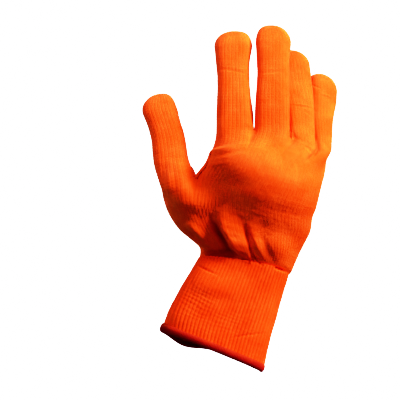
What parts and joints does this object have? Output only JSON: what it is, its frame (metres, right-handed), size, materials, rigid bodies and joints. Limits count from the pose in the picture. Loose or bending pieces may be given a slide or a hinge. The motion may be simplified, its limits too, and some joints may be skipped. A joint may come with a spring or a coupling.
{
  "type": "knit work glove",
  "caption": "Seamless knit work glove shaped to a right hand, with tubular finger and thumb stalls, a palm gathered at the wrist, a long ribbed cuff and a bound hem.",
  "frame": {"origin": "middle of the wrist opening, where the hand goes in", "axes": "+Z from the cuff to the fingertips, +X from the thumb to the little finger, +Y from the back of the hand to the palm side"},
  "size_m": [0.1466, 0.0822, 0.2602],
  "materials": {
    "plain_knit": "matt acrylic knit in high-visibility orange",
    "rib_knit": "matt elastic rib knit in high-visibility orange",
    "hem_thread": "dark red overlock thread"
  },
  "bodies": {
    "root": {"index_stall": "plain_knit", "middle_stall": "plain_knit", "ring_stall": "plain_knit", "little_stall": "plain_knit", "thumb_stall": "plain_knit", "upper_palm": "plain_knit", "lower_palm": "plain_knit", "rib_cuff": "rib_knit", "bound_hem": "hem_thread"}
  },
  "joints": []
}
